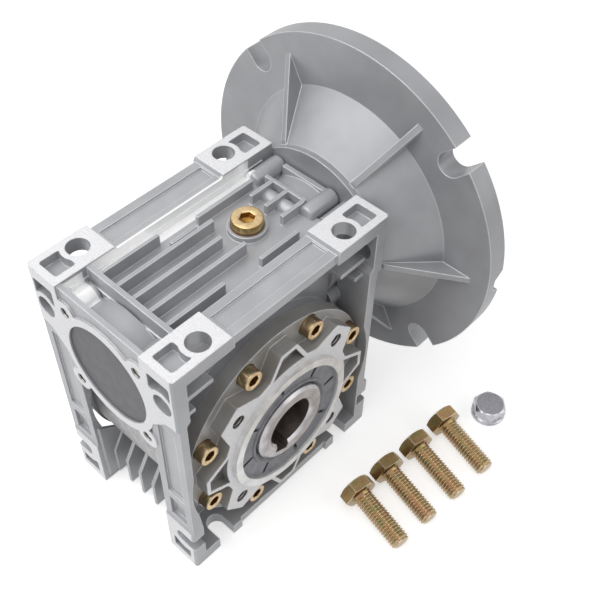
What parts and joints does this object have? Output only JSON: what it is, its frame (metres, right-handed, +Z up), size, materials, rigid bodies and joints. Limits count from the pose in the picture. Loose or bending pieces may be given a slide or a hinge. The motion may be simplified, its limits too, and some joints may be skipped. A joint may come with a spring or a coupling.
{
  "type": "worm gear reducer",
  "caption": "Cast aluminium worm gear reducer with a keyed hollow output shaft, a round motor flange on its input, corner mounting pads and loose motor bolts.",
  "frame": {"origin": "on the output bore's axis, midway between the two output faces", "axes": "+Z up from the feet, +X along the worm towards the motor flange, -Y out of the output face with the bolted cover"},
  "size_m": [0.1758, 0.1932, 0.1926],
  "materials": {
    "cast_aluminium": "fine cast, lightly textured silver",
    "seal_rubber": "matt moulded nitrile",
    "cap_rubber": "smooth dark grey rubber over steel",
    "washer_copper": "plain sealing washer",
    "zinc_steel": "yellow zinc plated steel",
    "plug_brass": "turned brass",
    "plug_steel": "bright zinc plated steel",
    "shaft_iron": "machined, lightly oiled",
    "wheel_bronze": "hobbed tin bronze",
    "worm_steel": "ground case-hardened steel",
    "bearing_steel": "ground bearing steel",
    "spring_steel": "phosphated spring steel"
  },
  "bodies": {
    "casing": {"housing": "cast_aluminium", "output_cover": "cast_aluminium", "cover_o_ring": "seal_rubber", "cover_screws": "zinc_steel", "front_bearing_outer": "bearing_steel", "back_bearing_outer": "bearing_steel", "front_seal": "seal_rubber", "back_seal": "seal_rubber", "rear_bearing_outer": "bearing_steel", "input_bearing_outer": "bearing_steel", "input_seal": "seal_rubber", "rear_circlip": "spring_steel", "input_circlip": "spring_steel", "rear_cap": "cap_rubber", "motor_flange": "cast_aluminium", "flange_screws": "zinc_steel", "filler_plug": "plug_brass", "filler_washer": "washer_copper", "motor_bolts": "zinc_steel", "vent_plug": "plug_steel"},
    "output": {"output_shaft": "shaft_iron", "worm_wheel_rim": "wheel_bronze", "front_bearing_inner": "bearing_steel", "back_bearing_inner": "bearing_steel"},
    "worm": {"worm_shaft": "worm_steel", "rear_bearing_inner": "bearing_steel", "input_bearing_inner": "bearing_steel"}
  },
  "joints": [
    {"name": "output_spin", "type": "hinge", "parent": "casing", "child": "output", "pos_m": [0, 0, 0], "axis": [0, 1, 0], "continuous": true},
    {"name": "worm_spin", "type": "hinge", "parent": "casing", "child": "worm", "pos_m": [0, 0, 0.05], "axis": [1, 0, 0], "continuous": true}
  ],
  "couplings": [
    {"joint": "worm_spin", "follows": "output_spin", "ratio": -30}
  ]
}
